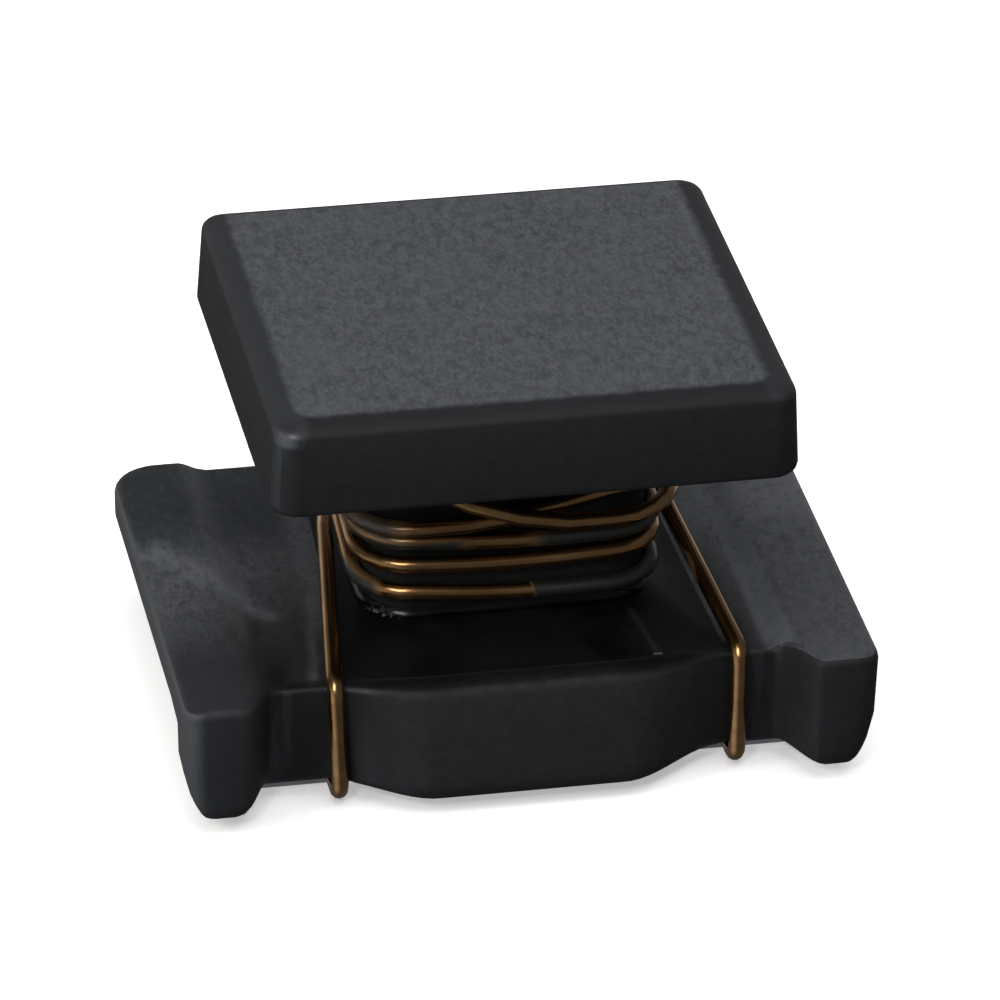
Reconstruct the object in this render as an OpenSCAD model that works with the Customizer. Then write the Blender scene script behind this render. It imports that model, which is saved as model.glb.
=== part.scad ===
// Open wirewound chip inductor: a ferrite drum core with a notched base flange,
// one enamelled copper wire wound on its post, and two soldered end terminals.

/* [Base flange] */
// Length of the base over its two end faces
base_l = 4.5; // [4.0:0.05:5.2]
// Width of the base over its feet
base_w = 3.2; // [2.9:0.05:3.6]
// Height of the raised ends above the ferrite underside
base_h = 0.84; // [0.6:0.02:1.1]
// How far the raised ends stand above the middle of the base
end_rise = 0.07; // [0.02:0.01:0.15]
// Distance from the centre to the foot of each ramp
ramp_start = 1.6; // [1.45:0.02:1.75]
// Length of each ramp up to the raised end
ramp_run = 0.2; // [0.1:0.02:0.3]
// Depth of the two wire notches behind the line of the feet, at the top
notch_depth = 0.31; // [0.15:0.01:0.4]
// How much deeper the notches are at the bottom
notch_taper = 0.05; // [0:0.01:0.08]
// Half the length of the straight front of the middle bulge
bulge_half = 0.63; // [0.4:0.02:0.7]
// How far the front of the bulge leans back from the underside to the top
bulge_lean = 0.19; // [0:0.01:0.24]
// Length of the slope from the bulge down to the notch
bulge_run = 0.72; // [0.5:0.02:0.85]
// Length of the flat front of each foot, up to the end face
foot_l = 0.38; // [0.3:0.01:0.5]
// Length of the slope from the foot down to the notch
foot_run = 0.24; // [0.15:0.01:0.3]
// Plan radius of the two front corners of the base
base_corner = 0.12; // [0.05:0.01:0.2]
// Plan radius of the two back corners of the base
back_corner = 0.3; // [0.1:0.01:0.35]
// How far the end faces tuck in at the very bottom
end_tuck = 0.14; // [0.06:0.02:0.3]
// Height at which the end faces begin to tuck in
tuck_height = 0.62; // [0.4:0.02:0.7]
// Depth at the bottom of the hollow in each end face
end_hollow = 0.28; // [0.1:0.01:0.3]
// Height of that hollow
hollow_height = 0.68; // [0.4:0.02:0.74]
// How far back the hollow starts, behind the front foot
foot_depth = 0.6; // [0.4:0.05:1]
// Radius round the underside of the base
base_under_r = 0.12; // [0.04:0.01:0.16]
// Rounding along the top edge of the two notches
notch_edge = 0.045; // [0.02:0.005:0.06]
// Width of the rounding along the top of the feet and ends
foot_edge = 0.06; // [0.02:0.01:0.1]
// Width of the wider rounding along the top of the bulge
bulge_edge = 0.12; // [0.05:0.01:0.18]
// Height of that wider rounding
bulge_edge_h = 0.09; // [0.02:0.01:0.12]

/* [Post and top flange] */
// Length of the post
post_l = 1.84; // [1.6:0.02:1.94]
// Width of the post
post_w = 1.08; // [0.9:0.02:1.3]
// Corner radius of the post
post_corner = 0.3; // [0.1:0.01:0.4]
// How far the post stands to the right of the middle of the base
post_shift = 0.04; // [0:0.01:0.06]
// Fillet where the post meets the top flange
post_fillet = 0.05; // [0.02:0.01:0.06]
// Height of the whole ferrite core
core_h = 2.76; // [2.5:0.02:3.2]
// Length of the top flange round its lower edge
top_l = 3.39; // [3.0:0.01:3.8]
// Width of the top flange round its lower edge
top_w = 3.05; // [2.7:0.01:3.4]
// How far each wall of the top flange leans in towards the top
top_draft = 0.03; // [0:0.01:0.06]
// Thickness of the top flange
top_t = 0.61; // [0.4:0.01:0.7]
// Plan radius of the corners of the top flange
top_corner = 0.19; // [0.08:0.01:0.3]
// Width of the rounded bevel round the top face
top_bevel_w = 0.13; // [0.04:0.01:0.2]
// Height of that bevel
top_bevel_h = 0.07; // [0.03:0.01:0.15]
// Radius round the lower edge of the top flange
top_under_r = 0.05; // [0.02:0.01:0.1]

/* [Wire] */
// Diameter of the enamelled wire
wire_d = 0.11; // [0.08:0.005:0.125]
// Number of flats round the wire
wire_sides = 12; // [8:2:12]
// Distance of the left lead from the centre where it goes over the edge
lead_left = 1.25; // [1.2:0.01:1.4]
// Distance of the right lead from the centre where it goes over the edge
lead_right = 1.37; // [1.25:0.01:1.45]
// How far the left lead leans in towards the middle on its way down its notch
lean_left = 0.04; // [0:0.01:0.08]
// How far the right lead leans out towards the end on its way down its notch
lean_right = 0.02; // [0:0.01:0.04]
// Length of the wire end that lies under the base
tail_l = 0.85; // [0.5:0.05:1.1]
// Bend radius of the leads, to the middle of the wire
lead_bend = 0.1; // [0.08:0.01:0.12]

/* [Terminals and varnish] */
// Thickness of the plated terminals
plating = 0.02; // [0.01:0.005:0.05]
// Thickness of solder between the wire and the circuit board
solder_skin = 0.015; // [0.01:0.005:0.05]
// Distance from the centre to the inner edge of each terminal
terminal_start = 1.02; // [0.9:0.02:1.1]
// Length of each terminal
terminal_l = 0.88; // [0.7:0.02:0.92]
// Corner radius of each terminal
terminal_corner = 0.08; // [0.03:0.01:0.12]
// Slope inwards of the solder's sides, as a share of its height
solder_slope = 0.7; // [0.3:0.1:1]
// Depth of the grooves in the underside that take the wire ends
groove_depth = 0.04; // [0.02:0.01:0.06]
// Width of those grooves
groove_w = 0.2; // [0.15:0.01:0.26]
// How far the left side of the varnish film leans in towards the back
film_in_left = 0.2; // [0:0.02:0.3]
// How far the right side of the varnish film leans in towards the back
film_in_right = 0.1; // [0:0.02:0.2]
// Thickness of the varnish film on the middle of the base
film = 0.012; // [0.008:0.002:0.02]
// Height and width of the varnish fillet round the foot of the post
fillet = 0.08; // [0.04:0.01:0.08]

/* [Hidden] */

// Running clearance between the wire and what it lies on
gap = 0.005;
// How far a cut runs past the face that it opens
over = 0.02;
// How far the post runs into each flange
root = 0.1;
// The same between a lead and its notch, whose wall bows out a little
lead_gap = 0.016;
// Smallest radius that a corner keeps when its outline is drawn inset
least_r = 0.03;
wire_r = wire_d / 2;
mid_h = base_h - end_rise;
window_top = core_h - top_t;
// Middle of a wire lying in its groove, above the ferrite underside
tail_z = groove_depth - gap - wire_r;
// Height of the ferrite underside above the board
seat = wire_r + solder_skin - tail_z;
// Terminals stop short of the rounding at the foot of the notches
terminal_w = base_w - 2 * (notch_depth + notch_taper + base_under_r + over);

function smooth(t) = t <= 0 ? 0 : t >= 1 ? 1 : t * t * (3 - 2 * t);
function lerp(a, b, t) = a + (b - a) * t;
function unit(v) = v / norm(v);
function flip(list) = [for (i = [len(list) - 1:-1:0]) list[i]];

// ---- outline of the base: bulge, notches and feet in front, straight behind

// Every outline can be drawn inset by d, with notches deeper by deep, ends tucked by e and
// the front of the bulge set back by lean
function bulge_end(d) = max(least_r, bulge_half - d / 2);
function foot_in(d) = base_l / 2 - foot_l - foot_run + d;
function half_width(x, d = 0, deep = 0, lean = 0) = base_w / 2 - d
    - lerp(lean, notch_depth + deep, smooth((abs(x) - bulge_end(d)) / bulge_run));
function corner_arc_y(x, end, r) =
    let (over = x - (end - r)) over <= 0 ? r : sqrt(max(0, r * r - over * over));

// Points [x, front y, back y] of the outline from the middle to the +X end face
function base_points(d, deep, e, lean) =
    let (end = base_l / 2 - e, r = max(least_r, base_corner - d * 0.8),
        r_back = max(least_r, back_corner - d * 0.8), straight = base_w / 2 - d,
        foot_run_end = min(foot_in(d) + foot_run, end - r - least_r),
        run = foot_run_end - foot_in(d))
    concat(
        [for (i = [0:25]) let (x = foot_in(d) * i / 26) [x, half_width(x, d, deep, lean), straight]],
        [for (i = [0:8]) let (x = foot_in(d) + run * i / 8)
            [x, lerp(half_width(foot_in(d), d, deep, lean), straight, smooth(i / 8)),
                straight - r_back + corner_arc_y(x, end, r_back)]],
        [for (i = [1:3]) let (x = lerp(foot_run_end, end - r, i / 4))
            [x, straight, straight - r_back + corner_arc_y(x, end, r_back)]],
        [for (i = [0:5]) let (x = end - r + r * sin(18 * i))
            [x, straight - r + r * cos(18 * i), straight - r_back + corner_arc_y(x, end, r_back)]]);

// ---- lofts through rings that mirror front to back

// A closed ring from its right half, whose points are [x, front y, back y, front z, back z]
function full_ring(half) =
    let (left = half[0][0] > 0 ? half : [for (i = [1:len(half) - 1]) half[i]])
    concat([for (p = flip(left)) [-p[0], -p[1], p[3]]], [for (p = half) [p[0], -p[1], p[3]]],
        [for (p = flip(half)) [p[0], p[2], p[4]]], [for (p = left) [-p[0], p[2], p[4]]]);
function flat_outline(ring) = [for (p = ring) [p[0], p[1]]];

module loft(rings) {
    n = len(rings[0]);
    last = (len(rings) - 1) * n;
    sides = [for (k = [0:len(rings) - 2], i = [0:n - 1]) let (j = (i + 1) % n)
        [k * n + i, (k + 1) * n + i, (k + 1) * n + j, k * n + j]];
    floor_strips = [for (i = [0:n / 2 - 2]) [i, i + 1, n - 2 - i, n - 1 - i]];
    roof_strips = [for (f = floor_strips) [for (v = flip(f)) last + v]];
    polyhedron([for (r = rings, p = r) p], concat(sides, floor_strips, roof_strips));
}

// A band round a post, its rings going up on the outside and down on the inside
module band(rings) {
    n = len(rings[0]);
    m = len(rings);
    polyhedron([for (r = rings, p = r) p],
        [for (k = [0:m - 1], i = [0:n - 1]) let (j = (i + 1) % n, l = (k + 1) % m)
            [k * n + i, l * n + i, l * n + j, k * n + j]]);
}

// ---- drum core

function mid_weight(x) = 1 - smooth((abs(x) - bulge_half) / bulge_run);
function foot_weight(x) = smooth((abs(x) - foot_in(0)) / foot_run);
// Rounding along the top front edge: wide on the bulge, small and crisp on the notches
function blend_edge(x, bulge, foot) =
    bulge * mid_weight(x) + foot * foot_weight(x)
    + notch_edge * (1 - mid_weight(x) - foot_weight(x));
function deck_z(x) = mid_h + end_rise * smooth((abs(x) - ramp_start) / ramp_run);
function tuck(z) = end_tuck * pow(max(0, 1 - z / tuck_height), 3);
function lean_at(z) = bulge_lean * min(1, z / mid_h);

function wall_ring(d, z, deep) =
    full_ring([for (p = base_points(d, deep, tuck(z), lean_at(z))) [p[0], p[1], p[2], z, z]]);
function under_ring(a) =
    wall_ring(base_under_r * (1 - sin(a)), base_under_r * (1 - cos(a)), notch_taper);
function deck_ring(a) = let (c = 1 - cos(a), s = 1 - sin(a), lean = lean_at(mid_h - bulge_edge_h * s))
    full_ring([for (p = base_points(foot_edge * c, 0, foot_edge * c, lean)) let (x = p[0])
        [x, p[1] - (blend_edge(x, bulge_edge, foot_edge) - foot_edge) * c, p[2],
            deck_z(x) - blend_edge(x, bulge_edge_h, foot_edge) * s, deck_z(x) - foot_edge * s]]);

module base_flange() {
    loft(concat([for (a = [0:18:90]) under_ring(a)],
        [for (u = [0.3, 0.6]) wall_ring(0, tuck_height * u, notch_taper * (1 - u))],
        [for (a = [0:22.5:90]) deck_ring(a)]));
}

// What is hollowed out of the lower part of the +X end face, from the front foot back
module end_hollow_cut() {
    hull() {
        hollow_slice(foot_depth, base_l / 2 + over, end_hollow);
        hollow_slice(foot_depth / 2, base_l / 2 + 2 * over, 0);
    }
}

// An upright slice of that hollow, from a distance behind the front out past the back
module hollow_slice(from, out, depth) {
    translate([0, base_w / 2 + over, 0]) rotate([90, 0, 0]) linear_extrude(base_w + over - from)
        polygon([[out, hollow_height], [out, -over], [base_l / 2 - depth, -over]]);
}

// Right half of a rectangle with rounded corners
function rounded_half(l, w, r, z, steps = 6) = [for (i = [0:steps]) let (a = 90 * i / steps,
    y = w / 2 - r + r * cos(a)) [l / 2 - r + r * sin(a), y, y, z, z]];
function rounded_ring(l, w, r, d, z) =
    full_ring(rounded_half(l - 2 * d, w - 2 * d, max(least_r, r - d), z));

// Outline of the post, inset by d
function post_ring(d, z) = [for (p = rounded_ring(post_l, post_w, post_corner, d, z))
    p + [post_shift, 0, 0]];

module post() {
    loft(concat([post_ring(0, mid_h - root)],
        [for (a = [0:22.5:90]) post_ring(-post_fillet * (1 - cos(a)),
            window_top - post_fillet * (1 - sin(a)))],
        [post_ring(-post_fillet, window_top + root)]));
}

module top_flange() {
    loft(concat([for (a = [0:30:90]) rounded_ring(top_l, top_w, top_corner,
            top_under_r * (1 - sin(a)), window_top + top_under_r * (1 - cos(a)))],
        [for (a = [0:18:90]) rounded_ring(top_l, top_w, top_corner,
            top_draft + top_bevel_w * (1 - cos(a)), core_h - top_bevel_h * (1 - sin(a)))]));
}

// The room of a wire end under the base, from below up to a height, a little longer than it
module wire_groove(x, height) {
    translate([x - groove_w / 2, -base_w, -base_h])
        cube([groove_w, base_w + tail_end(x) + groove_w / 2, base_h + height]);
}

module drum_core() {
    color([0.24, 0.25, 0.27]) translate([0, 0, seat]) difference() {
        union() {
            base_flange();
            post();
            top_flange();
        }
        wire_groove(-lead_left_foot, groove_depth);
        wire_groove(lead_right_foot, groove_depth);
        end_hollow_cut();
        mirror([1, 0, 0]) end_hollow_cut();
    }
}

// ---- winding: one wire from the left terminal to the right one

// Where the leads reach the foot of their notches
lead_left_foot = lead_left - lean_left;
lead_right_foot = lead_right + lean_right;
// Lowest and highest place of the middle of the wire on the post
wind_low = mid_h + film + gap + wire_r;
wind_high = window_top - gap - wire_r;
// One layer of wire further out
layer = wire_d + 2 * gap;
// Each turn's corners, back left, back right, front right and front left. A corner has its
// height, from 0 at the base to 1 at the top flange, its layer, and the height and layer of
// the middle of the span that leads to it where the wire bows there.
TURNS = [
    [[0.13, 0.8], [0.07, 0], [0.083, 0], [0.127, 0, 0.085, 0]],
    [[0.22, 0], [0.25, 0], [0.278, 0], [0.286, 0, 0.262, 0]],
    [[0.35, 0], [0.36, 0], [0.39, 0], [0.424, 0, 0.388, 0]],
    [[0.46, 0], [0.50, 0], [0.65, 0], [0.518, 0.4, 0.53, 0.1]],
    [[0.61, 0], [0.72, 0], [0.52, 0.9, 0.66, 1.1], [0.76, 0, 0.59, 1.25]],
    [[0.83, 1, 0.80, 0.6], [0.29, 1, 0.56, 1.2]]
];
CORNERS = [for (turn = TURNS, c = turn) c];

function corner_sign(k) = [[-1, 1], [1, 1], [1, -1], [-1, -1]][k % 4];
function wind_z(h) = lerp(wind_low, wind_high, h);
function corner_point(k, a) =
    let (s = corner_sign(k), r = post_corner + gap + wire_r + CORNERS[k][1] * layer,
        turn = 180 - 90 * (k % 4) - a)
    [post_shift + s[0] * (post_l / 2 - post_corner) + r * cos(turn),
        s[1] * (post_w / 2 - post_corner) + r * sin(turn), wind_z(CORNERS[k][0])];
function corner_arc(k) = [for (a = [0:18:90]) corner_point(k, a)];
// Three points on the way to corner k, on a parabola through the middle of the span
function span(k) =
    let (p = corner_point(k - 1, 90), q = corner_point(k, 0), c = CORNERS[k],
        was = CORNERS[k - 1], s = corner_sign(k - 1), t = corner_sign(k),
        away = s[0] == t[0] ? [s[0], 0, 0] : [0, s[1], 0],
        mid_z = len(c) > 2 ? wind_z(c[2]) : (p[2] + q[2]) / 2,
        mid_out = len(c) > 2 ? c[3] : (was[1] + c[1]) / 2,
        bow_z = mid_z - (p[2] + q[2]) / 2,
        bow_out = (mid_out - (was[1] + c[1]) / 2) * layer)
    [for (u = [0.25:0.25:0.75]) let (b = 4 * u * (1 - u))
        lerp(p, q, u) + away * bow_out * b + [0, 0, bow_z * b]];
coil_points = [for (k = [0:len(CORNERS) - 1], p = concat(k > 0 ? span(k) : [], corner_arc(k))) p];

// A lead from the end of its tail up to the top edge of its notch
function bend_y(x, deep, lean) = -(half_width(x, 0, deep, lean) + lead_gap + wire_r - lead_bend);
function tail_end(x) = bend_y(x, notch_taper, 0) + tail_l;
function lead_points(x_top, x_foot) =
    let (r = lead_bend, off = gap + wire_r - r, y_top = bend_y(x_top, 0, bulge_lean),
        y_foot = bend_y(x_foot, notch_taper, 0))
    concat([[x_foot, tail_end(x_foot), tail_z]],
        [for (a = [0:15:90]) [x_foot, y_foot - r * sin(a), tail_z + r - r * cos(a)]],
        [for (a = [0:15:90]) [x_top, y_top - r * cos(a), mid_h + off + r * sin(a)]]);

wire_path = concat(lead_points(-lead_left, -lead_left_foot), coil_points,
    flip(lead_points(lead_right, lead_right_foot)));

function tangent(path, i) =
    unit(path[min(i + 1, len(path) - 1)] - path[max(i - 1, 0)]);
function square_to(v, t) = unit(v - (v * t) * t);

// A round wire along a path, its rings turned as little as possible from one to the next
module wire(path, d, sides) {
    n = len(path);
    normals = [for (i = 0, v = square_to([1, 0, 0], tangent(path, 0)); i < n;
        i = i + 1, v = i < n ? square_to(v, tangent(path, i)) : v) v];
    points = [for (i = [0:n - 1], s = [0:sides - 1])
        let (t = tangent(path, i), v = normals[i], w = cross(t, v), a = 360 * s / sides)
        path[i] + d / 2 * (cos(a) * v + sin(a) * w)];
    walls = [for (i = [0:n - 2], s = [0:sides - 1]) let (r = (s + 1) % sides)
        [i * sides + s, (i + 1) * sides + s, (i + 1) * sides + r, i * sides + r]];
    ends = [[for (s = [0:sides - 1]) s], [for (s = [sides - 1:-1:0]) (n - 1) * sides + s]];
    polyhedron(points, concat(walls, ends));
}

module winding() {
    color([0.72, 0.43, 0.2]) translate([0, 0, seat]) wire(wire_path, wire_d, wire_sides);
}

// ---- varnish on the middle of the base and round the foot of the post

// Where the film ends: inside the rounded edges and between the leads
function film_points() = [for (p = base_points(foot_edge, 0, foot_edge, bulge_lean))
    [p[0], p[1] - blend_edge(p[0], bulge_edge, foot_edge) + foot_edge - gap, p[2], 0, 0]];

module varnish() {
    left = lead_left - wire_r - 2 * gap;
    right = lead_right - wire_r - 2 * gap;
    color([0.05, 0.05, 0.06]) translate([0, 0, seat + mid_h]) {
        linear_extrude(film) difference() {
            intersection() {
                polygon(flat_outline(full_ring(film_points())));
                polygon([[-left, -base_w / 2], [right, -base_w / 2],
                    [right - film_in_right, base_w / 2], [-left + film_in_left, base_w / 2]]);
            }
            polygon(flat_outline(post_ring(-fillet / 2, 0)));
        }
        band(concat([post_ring(-fillet, 0)],
            [for (a = [0:22.5:90]) post_ring(-fillet * (1 - sin(a)),
                film / 2 + (fillet - film / 2) * (1 - cos(a)))],
            [post_ring(0, 0)]));
    }
}

// ---- terminals and solder, on the underside at each end

// Rounded rectangles between terminal_start and the end, inset by d
function terminal_ring(d, z) = [for (p = rounded_ring(terminal_l, terminal_w, terminal_corner, d, z))
    p + [terminal_start + terminal_l / 2, 0, 0]];

module terminal(x) {
    translate([0, 0, -plating]) difference() {
        linear_extrude(plating) polygon(flat_outline(terminal_ring(0, 0)));
        wire_groove(x, base_h);
    }
}

// Solder under a terminal, with room for the wire end that lies in it
module solder(x) {
    depth = seat - plating;
    difference() {
        loft([for (a = [0:22.5:90])
            terminal_ring(depth * solder_slope * (1 - sin(a)), depth * (1 - cos(a)) - seat)]);
        translate([x, tail_end(x) + gap, tail_z]) rotate([90, 0, 0])
            cylinder(h = base_w, r = wire_r + gap / 2, $fn = 48);
    }
}

module terminal_left() {
    color([0.82, 0.82, 0.8]) translate([0, 0, seat]) mirror([1, 0, 0]) terminal(lead_left_foot);
}

module terminal_right() {
    color([0.82, 0.82, 0.8]) translate([0, 0, seat]) terminal(lead_right_foot);
}

module solder_left() {
    color([0.7, 0.71, 0.72]) translate([0, 0, seat]) mirror([1, 0, 0]) solder(lead_left_foot);
}

module solder_right() {
    color([0.7, 0.71, 0.72]) translate([0, 0, seat]) solder(lead_right_foot);
}

drum_core();
winding();
varnish();
terminal_left();
terminal_right();
solder_left();
solder_right();
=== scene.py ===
"""An open wirewound SMD inductor on a pale table: materials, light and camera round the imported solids."""

import math

import bpy
from mathutils import Matrix, Vector


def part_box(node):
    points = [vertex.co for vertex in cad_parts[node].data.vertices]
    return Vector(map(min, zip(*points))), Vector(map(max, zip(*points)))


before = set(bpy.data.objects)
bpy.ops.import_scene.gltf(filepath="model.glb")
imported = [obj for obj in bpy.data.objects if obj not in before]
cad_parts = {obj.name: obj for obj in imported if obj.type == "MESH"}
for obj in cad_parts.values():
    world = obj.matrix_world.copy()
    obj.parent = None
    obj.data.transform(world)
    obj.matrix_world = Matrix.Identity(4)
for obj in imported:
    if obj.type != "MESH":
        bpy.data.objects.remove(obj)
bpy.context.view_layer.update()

MM = 0.001
TO_MM = 1 / MM

# Places on the part, in mm: heights from the frame, and x and y from the middle of the base
core_low, core_high = (corner * TO_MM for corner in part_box("drum_core"))
BASE_HEIGHT = 0.84
TOP_Z = core_high.z
DECK_Z = core_low.z + BASE_HEIGHT
# Where the straight part of the post ends, under its fillet and the top flange
POST_TOP_Z = TOP_Z - 0.66
# Heights that part the base's paint from the top flange's: both lie in the open window between them
BASE_PAST, TOP_FROM = 1.1, 1.3
# How far from the middle the two ramps of the deck begin and end
RAMP_FOOT, RAMP_TOP = 1.6, 1.8
# x of the two leads
LEFT_LEAD, RIGHT_LEAD = -1.25, 1.37
# x over which the paint of the deck's left and right wings fades, and y where that of the notches begins
LEFT_WING, RIGHT_WING = (-1.3, -1.1), (1.1, 1.3)
NOTCH_FROM = -1.2

# Tints of the greys
FERRITE_TINT = (0.96, 1.0, 1.10)
BLUISH = (0.86, 1.0, 1.12)
VARNISH_TINT = (0.85, 1.0, 1.3)
YELLOWISH = (1.0, 1.0, 0.8)
NEUTRAL = (1.0, 1.0, 1.0)
GAMMA = 2.2

FLOOR_SIDE = 600
LIGHT_DISTANCE = 60
# Corners of the solids nearer than this are joined for smooth shading
WELD_WITHIN = 0.0001


# ---------------------------------------------------------------- node helpers


def grey(level, tint=FERRITE_TINT):
    """A tinted grey of a screen, 0 to 255, as a linear colour."""
    linear = (level / 255) ** GAMMA
    return tuple(linear * part for part in tint) + (1.0,)


def smooth_step(tree, start, end, low, high):
    """A node that gives low where its value is under start, high past end, smooth between."""
    node = tree.nodes.new("ShaderNodeMapRange")
    node.interpolation_type = "SMOOTHSTEP"
    for socket, number in zip(node.inputs[1:5], (start, end, low, high)):
        socket.default_value = number
    return node


class Graph:
    """The node tree of one material, with short calls for the nodes used here. Lengths are in mm."""

    def __init__(self, name):
        self.material = bpy.data.materials.new(name)
        self.material.use_nodes = True
        self.tree = self.material.node_tree
        self.shader = self.tree.nodes["Principled BSDF"]
        coordinates = self.tree.nodes.new("ShaderNodeTexCoord")
        scaled = self.tree.nodes.new("ShaderNodeVectorMath")
        scaled.operation = "SCALE"
        scaled.inputs["Scale"].default_value = TO_MM
        self.tree.links.new(coordinates.outputs["Object"], scaled.inputs[0])
        self.place = scaled.outputs[0]

    def link(self, value, socket):
        """Joins a node's output to the socket, or sets a number or colour on it."""
        if isinstance(value, bpy.types.NodeSocket):
            self.tree.links.new(value, socket)
        else:
            socket.default_value = value

    def set(self, **values):
        """Sets the shader's sockets, named with _ for a space."""
        for name, value in values.items():
            self.link(value, self.shader.inputs[name.replace("_", " ")])

    def part(self, vector, name):
        split = self.tree.nodes.new("ShaderNodeSeparateXYZ")
        self.tree.links.new(vector, split.inputs[0])
        return split.outputs[name]

    def axis(self, name):
        return self.part(self.place, name)

    def normal(self, name):
        """The way a facet faces along one axis, -1 to 1."""
        geometry = self.tree.nodes.new("ShaderNodeNewGeometry")
        return self.part(geometry.outputs["True Normal"], name)

    def math(self, operation, a, b=0.0):
        node = self.tree.nodes.new("ShaderNodeMath")
        node.operation = operation
        self.link(a, node.inputs[0])
        self.link(b, node.inputs[1])
        return node.outputs[0]

    def mix(self, factor, a, b):
        """A colour from a, where factor is 0, to b, where it is 1."""
        node = self.tree.nodes.new("ShaderNodeMix")
        node.data_type = "RGBA"
        # the node has sockets for each kind of data, and these are the ones for colours
        for value, socket in ((factor, 0), (a, 6), (b, 7)):
            self.link(value, node.inputs[socket])
        return node.outputs[2]

    def noise(self, per_mm, detail, roughness=0.5, distortion=0.0, stretch=(1, 1, 1), offset=0.0):
        """Noise between 0 and 1 with per_mm cells in a millimetre."""
        mapping = self.tree.nodes.new("ShaderNodeMapping")
        mapping.inputs["Scale"].default_value = stretch
        mapping.inputs["Location"].default_value = (offset, offset, offset)
        self.tree.links.new(self.place, mapping.inputs["Vector"])
        node = self.tree.nodes.new("ShaderNodeTexNoise")
        self.tree.links.new(mapping.outputs[0], node.inputs["Vector"])
        node.inputs["Scale"].default_value = per_mm
        node.inputs["Detail"].default_value = detail
        node.inputs["Roughness"].default_value = roughness
        node.inputs["Distortion"].default_value = distortion
        return node.outputs[0]

    def bump(self, height, depth, strength):
        """Bumps of that depth in mm."""
        node = self.tree.nodes.new("ShaderNodeBump")
        node.inputs["Distance"].default_value = depth * MM
        node.inputs["Strength"].default_value = strength
        self.link(height, node.inputs["Height"])
        self.tree.links.new(node.outputs[0], self.shader.inputs["Normal"])

    # masks: values from 0 to 1

    def ramp(self, value, start, end, low=0.0, high=1.0):
        """low where value is under start, high past end, smooth between."""
        node = smooth_step(self.tree, start, end, low, high)
        self.link(value, node.inputs["Value"])
        return node.outputs[0]

    def fall(self, value, start, end):
        """1 where value is under start, 0 past end, smooth between."""
        return self.ramp(value, start, end, 1.0, 0.0)

    def between(self, value, start, end, soft):
        """1 where value is from start to end, fading over soft on both sides."""
        return self.both(self.ramp(value, start - soft, start + soft),
                         self.fall(value, end - soft, end + soft))

    def outside(self, mask):
        """1 where the mask is 0."""
        return self.math("SUBTRACT", 1.0, mask)

    def both(self, *masks):
        """1 where all the masks are 1."""
        whole = masks[0]
        for mask in masks[1:]:
            whole = self.math("MULTIPLY", whole, mask)
        return whole

    def either(self, *masks):
        """1 where any of the masks is 1."""
        whole = masks[0]
        for mask in masks[1:]:
            whole = self.math("MAXIMUM", whole, mask)
        return whole

    def distance(self, a, b):
        """The length of the slanting side over two sides a and b."""
        return self.math("SQRT", self.math("ADD", self.math("MULTIPLY", a, a), self.math("MULTIPLY", b, b)))

    def ragged(self, distance, wobble, noise):
        """The distance, moved in and out by the noise."""
        ripple = self.math("SUBTRACT", noise, 0.5)
        return self.math("ADD", distance, self.math("MULTIPLY", ripple, wobble))

    def stroke(self, start, end, width, soft, wobble=0.0):
        """A straight stroke in plan, which reaches width to each side, with a soft and ragged edge."""
        (ax, ay), (bx, by) = start, end
        length = math.hypot(bx - ax, by - ay)
        ux, uy = (bx - ax) / length, (by - ay) / length
        dx = self.math("SUBTRACT", self.axis("X"), ax)
        dy = self.math("SUBTRACT", self.axis("Y"), ay)
        along = self.math("ADD", self.math("MULTIPLY", dx, ux), self.math("MULTIPLY", dy, uy))
        across = self.math("SUBTRACT", self.math("MULTIPLY", dy, ux), self.math("MULTIPLY", dx, uy))
        past_end = self.math("SUBTRACT", along, length)
        before_start = self.math("MULTIPLY", along, -1.0)
        beyond = self.math("MAXIMUM", self.math("MAXIMUM", past_end, before_start), 0.0)
        away = self.distance(beyond, across)
        if wobble:
            away = self.ragged(away, wobble, self.noise(5.0, detail=3, offset=ax))
        return self.fall(away, width - soft, width + soft)

    def patch(self, half_x, front_y, corner, soft, wobble):
        """1 where |x| is under half_x and y over front_y, with round corners and a ragged edge."""
        out_x = self.math("SUBTRACT", self.math("ABSOLUTE", self.axis("X")), half_x - corner)
        out_y = self.math("SUBTRACT", front_y + corner, self.axis("Y"))
        away = self.distance(self.math("MAXIMUM", out_x, 0.0), self.math("MAXIMUM", out_y, 0.0))
        away = self.ragged(away, wobble, self.noise(9.0, detail=5, roughness=0.65, offset=2.0))
        return self.fall(away, corner - soft, corner + soft)


# --------------------------------------------------------------------- ferrite


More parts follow.
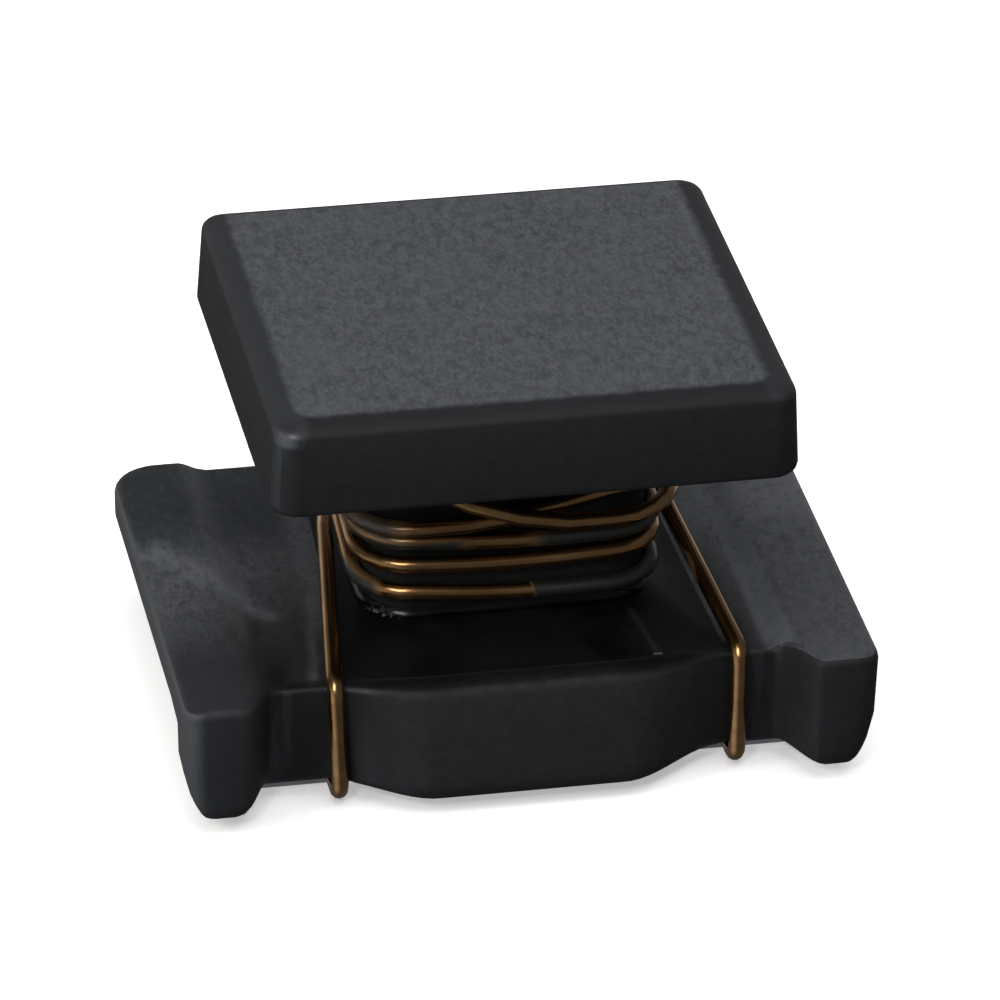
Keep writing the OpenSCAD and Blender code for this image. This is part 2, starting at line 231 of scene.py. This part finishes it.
class Ferrite(Graph):
    """The core's material as it is painted, with the patterns and masks that its coats share."""

    def __init__(self):
        super().__init__("ferrite_look")
        self.x, self.y, self.z = (self.axis(name) for name in "XYZ")
        grain = self.noise(44, detail=5, roughness=0.7, stretch=(1, 0.55, 1))
        self.coarse = self.noise(14, detail=4, roughness=0.65, stretch=(1, 0.6, 1), offset=5.0)
        self.blotch = self.noise(2.2, detail=4, roughness=0.6, distortion=0.5, offset=3.0)
        self.speck = self.math("ADD", self.math("MULTIPLY", grain, 0.6),
                               self.math("MULTIPLY", self.coarse, 0.4))
        self.low = self.fall(self.z, BASE_PAST, TOP_FROM)
        lip = self.both(self.between(self.x, -1.4, 1.4, 0.1), self.fall(self.y, -1.36, -1.31))
        self.deck = self.both(self.low, self.ramp(self.normal("Z"), 0.72, 0.86), self.outside(lip))
        self.side = self.outside(self.deck)
        top = self.both(self.outside(self.low), self.ramp(self.normal("Z"), 0.97, 0.9995),
                        self.patch(half_x=1.50, front_y=-1.32, corner=0.12, soft=0.035, wobble=0.08))
        self.flat = self.either(top, self.deck)
        self.colour = self.bare()

    def bare(self):
        """A pale speckled skin on the flat faces, and darker walls whose rim round the top has painted light:
        lighter at the left and right ends.
        """
        skin = self.mix(self.ramp(self.speck, 0.38, 0.62), grey(57), grey(80))
        skin = self.mix(self.ramp(self.blotch, 0.35, 0.7, 0.0, 0.35), skin, grey(78))
        wall = self.mix(self.ramp(self.coarse, 0.3, 0.7), grey(33), grey(38))
        # painted light: the rim round the top is lighter at the left and right ends, where more light falls,
        # than at the front and back
        rim_with_painted_light = self.mix(self.ramp(self.x, 1.42, 1.5), grey(34), grey(42))
        rim_with_painted_light = self.mix(self.fall(self.x, -1.5, -1.42), rim_with_painted_light, grey(46))
        wall = self.mix(self.ramp(self.z, TOP_Z - 0.09, TOP_Z - 0.05, 0.0, 0.9), wall, rim_with_painted_light)
        return self.mix(self.flat, wall, skin)

    def coat(self, mask, share, level, tint=FERRITE_TINT):
        """Lays that share of a grey over the colour where the mask is 1."""
        self.colour = self.mix(self.math("MULTIPLY", mask, share), self.colour, grey(level, tint))


def wall_light_and_stains(g):
    """Painted light on the left end wall and foot, streaks in the notches, and a stain on the post."""
    # painted light: the left end of the base and its end wall, lit from the left, made lighter
    g.coat(g.both(g.low, g.side, g.fall(g.x, -1.75, -1.6)), share=0.5, level=55)
    g.coat(g.both(g.low, g.side, g.fall(g.x, -2.2, -2.1)), share=0.8, level=78)
    streaks = g.noise(7, detail=3, roughness=0.6, stretch=(1, 1, 0.12), offset=4.0)
    facing_front = g.fall(g.normal("Y"), -0.9, -0.6)
    notches = g.either(g.between(g.x, -1.75, -1.3, 0.04), g.between(g.x, 1.45, 1.75, 0.04))
    g.coat(g.both(g.low, g.side, g.ramp(streaks, 0.45, 0.65), facing_front, notches), share=0.6, level=66)
    post = g.both(g.between(g.z, 1.0, POST_TOP_Z, 0.03), g.between(g.x, -0.95, 1.02, 0.02),
                  g.ramp(g.y, -0.62, -0.58))
    g.coat(post, share=0.6, level=32, tint=YELLOWISH)


def flange_highlights(g):
    """Painted highlights on the front left corner of the top flange, and on the upright edge below it."""
    # painted highlight: a pale patch on the front left corner, where the lamp glints
    corner = g.both(g.fall(g.x, -1.60, -1.46), g.fall(g.y, -1.44, -1.34),
                    g.between(g.z, TOP_Z - 0.12, TOP_Z - 0.03, 0.02), g.ramp(g.coarse, 0.3, 0.6, 0.4, 1.0))
    g.coat(corner, share=0.7, level=92)
    # painted highlight: a pale line down the upright edge
    edge = g.both(g.between(g.normal("X"), -0.95, -0.72, 0.05), g.fall(g.normal("Y"), -0.45, -0.25),
                  g.between(g.z, TOP_Z - 0.55, TOP_Z - 0.08, 0.03), g.outside(g.low))
    g.coat(edge, share=0.5, level=62)


def bulge_lip(g):
    """The rounded lip over the front of the bulge: painted shade, with a painted highlight across the middle.
    """
    lip = g.both(g.low, g.ramp(g.z, DECK_Z - 0.14, DECK_Z - 0.08), g.fall(g.y, -1.30, -1.22),
                 g.between(g.x, LEFT_LEAD, RIGHT_LEAD, 0.05))
    # painted shade: the lip is painted dark
    g.coat(lip, share=0.85, level=22)
    # painted highlight: a paler stretch across the middle of the lip
    lip_highlight = g.both(lip, g.between(g.x, -0.42, 0.62, 0.14), g.ramp(g.coarse, 0.35, 0.6, 0.3, 1.0))
    g.coat(lip_highlight, share=0.85, level=58)


def left_wing(g):
    """Painted shade at the back, towards the front and under the top flange, painted light on the ramp and
    beside the lead, and pale smears.
    """
    wing = g.both(g.deck, g.fall(g.x, *LEFT_WING))
    # painted shade, bluish, at the back of the wing
    g.coat(g.both(wing, g.ramp(g.y, 0.1, 0.9)), share=0.80, level=35, tint=BLUISH)
    # painted shade towards the front
    g.coat(g.both(wing, g.fall(g.y, -1.1, -0.1)), share=0.88, level=37)
    # painted shade under the top flange, between the ramp and the lead
    g.coat(g.both(wing, g.between(g.x, -1.58, -1.2, 0.05), g.fall(g.y, -0.9, 0.9)), share=0.7, level=34)
    # painted light on the ramp, which faces away from the left light
    slope = g.both(wing, g.between(g.x, -RAMP_TOP, -RAMP_FOOT, 0.03), g.ramp(g.y, -0.6, -0.2))
    g.coat(g.both(slope, g.ramp(g.y, 0.2, 0.7, 1.0, 0.3)), share=0.6, level=74)
    # a mottle that breaks up both the real smears and the painted highlight beside the lead
    wear_and_highlight_mottle = g.ramp(g.coarse, 0.3, 0.6, 0.45, 0.95)
    smear = g.either(g.stroke((-2.12, 0.42), (-1.88, 0.10), width=0.10, soft=0.10, wobble=0.2),
                     g.stroke((-1.88, 0.10), (-1.53, -0.36), width=0.06, soft=0.08, wobble=0.15))
    g.coat(g.both(g.deck, smear, wear_and_highlight_mottle), share=0.9, level=92)
    # painted highlight: a pale line on the edge beside the left lead
    lead_edge_highlight = g.stroke((-1.21, -0.2), (-1.37, -1.3), width=0.025, soft=0.04, wobble=0.08)
    g.coat(g.both(g.deck, wear_and_highlight_mottle, lead_edge_highlight), share=0.6, level=84)


def right_wing(g):
    """Painted light at the back and along the ramp, and painted shade towards the front and beside the lead.
    """
    wing = g.both(g.deck, g.ramp(g.x, *RIGHT_WING))
    # painted light at the back of the wing
    g.coat(g.both(wing, g.ramp(g.y, -0.1, 0.5)), share=0.75, level=88)
    # painted shade towards the front
    g.coat(g.both(wing, g.fall(g.y, -0.5, 0.1)), share=0.3, level=50)
    # painted shade under the top flange, beside the lead
    g.coat(g.both(g.deck, g.between(g.x, 1.34, 1.56, 0.04), g.fall(g.y, -1.0, 0.4)), share=0.7, level=36)
    # painted light on the ramp, which faces the left light
    g.coat(g.both(g.deck, g.between(g.x, 1.57, 1.75, 0.03)), share=0.75, level=84)


def mottled_wings(g):
    """The wings are mottled, and the sheltered middle of the deck is not."""
    wings = g.both(g.deck, g.outside(g.between(g.x, -1.3, 1.4, 0.1)))
    mottle = g.noise(15, detail=5, roughness=0.75, stretch=(1, 0.6, 1), offset=9.0)
    g.coat(g.both(wings, g.fall(mottle, 0.38, 0.50), g.ramp(g.y, -1.2, 0.2, 0.4, 1.0)), share=0.38, level=34)
    g.coat(g.both(wings, g.ramp(mottle, 0.52, 0.64), g.ramp(g.y, -0.9, 0.2)), share=0.12, level=88)


def varnish_runs(g):
    """Black where the varnish ran between the leads and beside the right lead, black along the front of the
    left ramp and the front edge, and damp in the notches. Returns the mask.
    """
    # black along the front part of the left ramp, and on along the front edge towards the left lead
    ramp_front_black = g.either(g.stroke((-1.68, -0.45), (-1.60, -1.22), width=0.08, soft=0.12, wobble=0.25),
                    g.stroke((-1.62, -1.22), (-1.34, -1.28), width=0.05, soft=0.06, wobble=0.1))
    right_run = g.stroke((1.44, -0.9), (1.44, -1.3), width=0.03, soft=0.06, wobble=0.1)
    between_leads = g.both(
        g.between(g.x, LEFT_LEAD, RIGHT_LEAD, 0.03), g.fall(g.y, NOTCH_FROM, NOTCH_FROM + 0.15),
        g.ramp(g.z, DECK_Z - 0.13, DECK_Z - 0.09), g.low,
    )
    run = g.either(g.both(g.deck, ramp_front_black), g.both(g.deck, right_run), between_leads)
    g.coat(run, share=0.85, level=22)
    damp = g.both(g.ramp(g.y, NOTCH_FROM + 0.05, NOTCH_FROM - 0.05), g.low,
                  g.either(g.between(g.x, -1.72, -1.0, 0.06), g.between(g.x, 1.1, 1.62, 0.06)))
    g.coat(damp, share=0.4, level=36)
    return g.either(run, damp)


def ferrite():
    """Sintered ferrite: a speckled matt skin on the flat faces, smoother and darker on edges and walls."""
    g = Ferrite()
    wall_light_and_stains(g)
    flange_highlights(g)
    bulge_lip(g)
    left_wing(g)
    right_wing(g)
    mottled_wings(g)
    varnished = varnish_runs(g)

    rough = g.ramp(g.blotch, 0.2, 0.8, 0.50, 0.62)
    rough = g.math("SUBTRACT", rough, g.math("MULTIPLY", varnished, 0.25))
    rough = g.math("ADD", rough, g.ramp(g.flat, 0.0, 1.0, 0.10, 0.0))
    polished_corner = g.both(g.fall(g.x, -1.56, -1.48), g.fall(g.y, -1.38, -1.30),
                             g.ramp(g.z, TOP_Z - 0.3, TOP_Z - 0.1))
    rough = g.math("SUBTRACT", rough, g.math("MULTIPLY", polished_corner, 0.36))
    g.set(Base_Color=g.colour, Roughness=rough, Specular_IOR_Level=0.3)
    g.bump(g.math("ADD", g.speck, g.math("MULTIPLY", g.blotch, 0.4)), depth=0.006, strength=0.6)
    return g.material


# ------------------------------------------------------------- other materials


def enamelled_copper():
    """Copper under clear enamel, and under a skin of dark varnish where some turns are soaked in it; the
    black on the left end of the fourth turn is painted shade.
    """
    g = Graph("enamelled_copper_look")
    x, y, z = g.axis("X"), g.axis("Y"), g.axis("Z")
    wear = g.noise(3.0, detail=4, stretch=(1, 1, 3))
    ragged_x = g.ragged(x, 0.1, wear)
    coil = g.both(g.between(x, -1.13, 1.22, 0.02), g.ramp(y, -0.85, -0.75))
    first_turn = g.fall(z, 1.12, 1.16)
    third_turn = g.between(z, 1.36, 1.47, 0.02)
    fourth_turn = g.ramp(z, 1.46, 1.50)
    soaked_and_shaded = g.both(coil, g.either(
        g.both(first_turn, g.ramp(ragged_x, 0.16, 0.20)),
        g.both(first_turn, g.fall(ragged_x, -0.88, -0.80), g.ramp(x, -1.04, -1.02)),
        g.both(third_turn, g.fall(ragged_x, -0.38, -0.2)),
        g.both(third_turn, g.ramp(ragged_x, 0.08, 0.28)),
        # painted shade: the left end of the fourth turn, which the light leaves dark, painted black
        g.both(fourth_turn, g.ramp(ragged_x, -0.82, -0.60, 0.9, 0.0)),
    ))
    copper = g.mix(g.ramp(wear, 0.3, 0.75), (0.31, 0.165, 0.062, 1), (0.45, 0.25, 0.10, 1))
    g.set(
        Base_Color=g.mix(soaked_and_shaded, copper, (0.020, 0.021, 0.018, 1)),
        Metallic=g.outside(soaked_and_shaded),
        Roughness=g.math("ADD", 0.27, g.math("MULTIPLY", soaked_and_shaded, 0.15)),
        Coat_Weight=0.3,
        Coat_Roughness=0.16,
    )
    g.bump(g.noise(14, detail=3), depth=0.0015, strength=0.6)
    return g.material


def black_varnish():
    """A glossy black film that has run and pooled a little, with painted highlights and a faint pale streak
    on it.
    """
    g = Graph("black_varnish_look")
    runs = g.noise(1.6, detail=3, distortion=0.8)
    # the slanting sides of the film and its fillet round the post
    slanting = g.fall(g.normal("Z"), 0.90, 0.97)
    faint = g.stroke((0.80, -0.68), (0.86, -1.22), width=0.010, soft=0.030, wobble=0.03)
    # two small pale flecks on the front edge, painted highlights, and the faint streak
    fleck = g.either(g.stroke((0.84, -1.25), (0.88, -1.25), width=0.008, soft=0.010),
                     g.stroke((1.23, -1.33), (1.25, -1.34), width=0.008, soft=0.010),
                     g.math("MULTIPLY", faint, 0.14))
    film = g.mix(g.ramp(runs, 0.3, 0.7), grey(12, VARNISH_TINT), grey(21, VARNISH_TINT))
    specks = g.ramp(g.noise(26, detail=3, offset=7.0), 0.48, 0.66)
    # painted highlight: pale specks on the fillet at the post's front left corner, where the lamp glints
    fillet_glints = g.both(slanting, specks, g.stroke((-0.87, -0.42), (-0.70, -0.59), width=0.012, soft=0.03))
    film = g.mix(g.math("MULTIPLY", fillet_glints, 0.7), film, grey(130, NEUTRAL))
    # painted highlight: the film's slanting front edge made paler
    film = g.mix(g.both(slanting, g.fall(g.axis("Y"), -1.15, -1.05)), film, grey(44))
    rough = g.math("SUBTRACT", g.ramp(runs, 0.3, 0.75, 0.42, 0.54), g.math("MULTIPLY", slanting, 0.26))
    g.set(
        Base_Color=g.mix(g.math("MULTIPLY", fleck, 0.6), film, grey(120)),
        Roughness=rough,
        Specular_IOR_Level=0.3,
    )
    g.bump(runs, depth=0.02, strength=0.35)
    return g.material


def bare_metal(g, pattern, dark, pale, smooth, rough, depth):
    """A metal whose colour, roughness and bumps all follow one pattern."""
    g.set(
        Base_Color=g.mix(pattern, dark, pale),
        Metallic=1.0,
        Roughness=g.ramp(pattern, 0.3, 0.7, smooth, rough),
    )
    g.bump(pattern, depth, strength=0.5)
    return g.material


def plating():
    """Matt silver plating with fine grain."""
    g = Graph("plating_look")
    return bare_metal(g, g.noise(30, detail=5), dark=(0.62, 0.6, 0.56, 1), pale=(0.8, 0.79, 0.76, 1),
                      smooth=0.3, rough=0.45, depth=0.002)


def solder():
    """Bright solder that set in soft waves."""
    g = Graph("solder_look")
    waves = g.noise(3.5, detail=3, distortion=0.5)
    return bare_metal(g, waves, dark=(0.5, 0.51, 0.52, 1), pale=(0.72, 0.73, 0.74, 1),
                      smooth=0.16, rough=0.34, depth=0.012)


def pale_floor():
    """A matt white that glows a little, so that it comes out paler than the light on it makes it."""
    g = Graph("pale_floor_look")
    g.set(
        Base_Color=(0.95, 0.95, 0.95, 1),
        Roughness=0.9,
        Specular_IOR_Level=0.0,
        Emission_Color=(1, 1, 1, 1),
        Emission_Strength=0.40,
    )
    return g.material


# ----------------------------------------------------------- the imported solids

# Each node's material, its slot in the record, and the angle in degrees past which an edge stays sharp
LOOKS = {
    "drum_core": (ferrite, "ferrite", 32),
    "winding": (enamelled_copper, "enamelled_copper", 50),
    "varnish": (black_varnish, "varnish", 50),
    "terminal_left": (plating, "plating", 35),
    "terminal_right": (plating, "plating", 35),
    "solder_left": (solder, "solder", 50),
    "solder_right": (solder, "solder", 50),
}


def smooth_shading(angle):
    """A modifier that joins split corners and shades smooth, with edges past the angle kept sharp."""
    tree = bpy.data.node_groups.new(f"smooth_under_{angle}", "GeometryNodeTree")
    tree.is_modifier = True
    for side in ("INPUT", "OUTPUT"):
        tree.interface.new_socket(name="Geometry", in_out=side, socket_type="NodeSocketGeometry")
    first = tree.nodes.new("NodeGroupInput")
    last = tree.nodes.new("NodeGroupOutput")
    weld = tree.nodes.new("GeometryNodeMergeByDistance")
    weld.inputs["Distance"].default_value = WELD_WITHIN * MM
    faces = tree.nodes.new("GeometryNodeSetShadeSmooth")
    faces.domain = "FACE"
    edges = tree.nodes.new("GeometryNodeSetShadeSmooth")
    edges.domain = "EDGE"
    edges.inputs["Shade Smooth"].default_value = False
    fold = tree.nodes.new("GeometryNodeInputMeshEdgeAngle")
    sharp = tree.nodes.new("FunctionNodeCompare")
    sharp.operation = "GREATER_THAN"
    sharp.inputs["B"].default_value = math.radians(angle)
    tree.links.new(fold.outputs["Unsigned Angle"], sharp.inputs["A"])
    tree.links.new(sharp.outputs[0], edges.inputs["Selection"])
    chain = (first, weld, faces, edges, last)
    for a, b in zip(chain, chain[1:]):
        tree.links.new(a.outputs[0], b.inputs[0])
    return tree


def dress():
    """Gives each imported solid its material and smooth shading. Nodes with one look share its material."""
    made = {}
    for name, (look, slot, angle) in LOOKS.items():
        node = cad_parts[name]
        if look not in made:
            made[look] = look()
        node.data.materials.clear()
        node.data.materials.append(made[look])
        if node.data.has_custom_normals:
            node.data.attributes.remove(node.data.attributes["custom_normal"])
        node.data.shade_smooth()
        node.modifiers.new("smooth", "NODES").node_group = smooth_shading(angle)


# ---------------------------------------------------------- floor, light, view


def floor():
    """A pale floor at height 0, left out of reflections and bounced light."""
    half = FLOOR_SIDE * MM / 2
    corners = [(-half, -half, 0), (half, -half, 0), (half, half, 0), (-half, half, 0)]
    mesh = bpy.data.meshes.new("floor")
    mesh.from_pydata(corners, [], [(0, 1, 2, 3)])
    mesh.materials.append(pale_floor())
    ground = bpy.data.objects.new("floor", mesh)
    bpy.context.scene.collection.objects.link(ground)
    ground.visible_diffuse = False
    ground.visible_glossy = False


def direction(azimuth, elevation):
    """The way from the part to a place round it. Azimuth 0 is the front, -Y, and 90 is +X."""
    a, e = math.radians(azimuth), math.radians(elevation)
    return Vector((math.sin(a) * math.cos(e), -math.cos(a) * math.cos(e), math.sin(e)))


def soft_light(name, azimuth, elevation, size, watts, colour):
    """A rectangular light that faces the part."""
    lamp = bpy.data.lights.new(name, "AREA")
    lamp.shape = "RECTANGLE"
    lamp.size, lamp.size_y = (side * MM for side in size)
    lamp.energy = watts
    lamp.color = colour
    thing = bpy.data.objects.new(name, lamp)
    way = direction(azimuth, elevation)
    thing.location = way * LIGHT_DISTANCE * MM
    thing.rotation_mode = "QUATERNION"
    thing.rotation_quaternion = way.to_track_quat("Z", "Y")
    bpy.context.scene.collection.objects.link(thing)
    return thing


# Name, azimuth, elevation, sides in mm, watts, colour, and whether it is a glint: a glint shows in
# reflections and lights nothing, and the others light the surfaces and don't show in reflections
LIGHTS = (
    ("overhead", 40, 80, (60, 60), 0.030, NEUTRAL, False),
    ("overhead_glint", 40, 80, (60, 26), 0.0080, NEUTRAL, True),
    ("left_window", -80, 32, (30, 30), 0.017, (1.0, 0.99, 0.93), False),
    ("lamp", -29, 42, (7, 7), 0.006, NEUTRAL, False),
    ("lamp_glint", -29, 42, (20, 28), 0.019, NEUTRAL, True),
    ("back_fill", 140, 8, (40, 40), 0.012, NEUTRAL, False),
    ("back_left", -150, 3, (50, 40), 0.0036, NEUTRAL, True),
    ("back_right", 150, -5, (50, 40), 0.003, NEUTRAL, True),
)


def lights():
    for name, azimuth, elevation, size, watts, colour, is_glint in LIGHTS:
        light = soft_light(name, azimuth, elevation, size, watts, colour)
        light.visible_glossy = is_glint
        light.visible_diffuse = not is_glint


def studio():
    """A dim room all round, with a brighter side low on the left."""
    dim, bright = 0.12, 0.74
    # cosine of the angle from the bright side at which the room is dim again
    glow_from = 0.6
    world = bpy.data.worlds.new("studio")
    world.use_nodes = True
    tree = world.node_tree
    coordinates = tree.nodes.new("ShaderNodeTexCoord")
    towards = tree.nodes.new("ShaderNodeVectorMath")
    towards.operation = "DOT_PRODUCT"
    towards.inputs[1].default_value = direction(azimuth=-64, elevation=-22)
    tree.links.new(coordinates.outputs["Generated"], towards.inputs[0])
    glow = smooth_step(tree, glow_from, 1.0, dim, bright)
    tree.links.new(towards.outputs["Value"], glow.inputs["Value"])
    background = tree.nodes["Background"]
    background.inputs["Color"].default_value = (0.92, 0.96, 1.0, 1)
    tree.links.new(glow.outputs[0], background.inputs["Strength"])
    bpy.context.scene.world = world


def camera():
    """A long lens from the front left, thirty degrees up. Its roll turns the picture slightly clockwise."""
    azimuth, elevation, roll = -12.0111, 30.1, 1.3693
    lens, sensor = 268.145, 36.0
    # in mm: how far off it stands, and the point it looks at, as a height over the core's foot and two shifts
    distance = 48.162
    aim_height, aim_right, aim_up = 1.37925, 0.068, -0.0864
    back = direction(azimuth, elevation)
    right = Vector((math.cos(math.radians(azimuth)), math.sin(math.radians(azimuth)), 0))
    up = back.cross(right)
    turn = Matrix.Rotation(math.radians(roll), 3, back)
    right, up = turn @ right, turn @ up
    target = Vector((0, 0, core_low.z + aim_height)) + right * aim_right + up * aim_up
    data = bpy.data.cameras.new("camera")
    data.sensor_width, data.lens = sensor, lens
    data.clip_start, data.clip_end = 0.001, 10
    thing = bpy.data.objects.new("camera", data)
    turned = Matrix((right, up, back)).transposed().to_4x4()
    thing.matrix_world = Matrix.Translation((target + back * distance) * MM) @ turned
    bpy.context.scene.collection.objects.link(thing)
    bpy.context.scene.camera = thing


dress()
floor()
lights()
studio()
camera()
bpy.context.scene.view_settings.view_transform = "Standard"
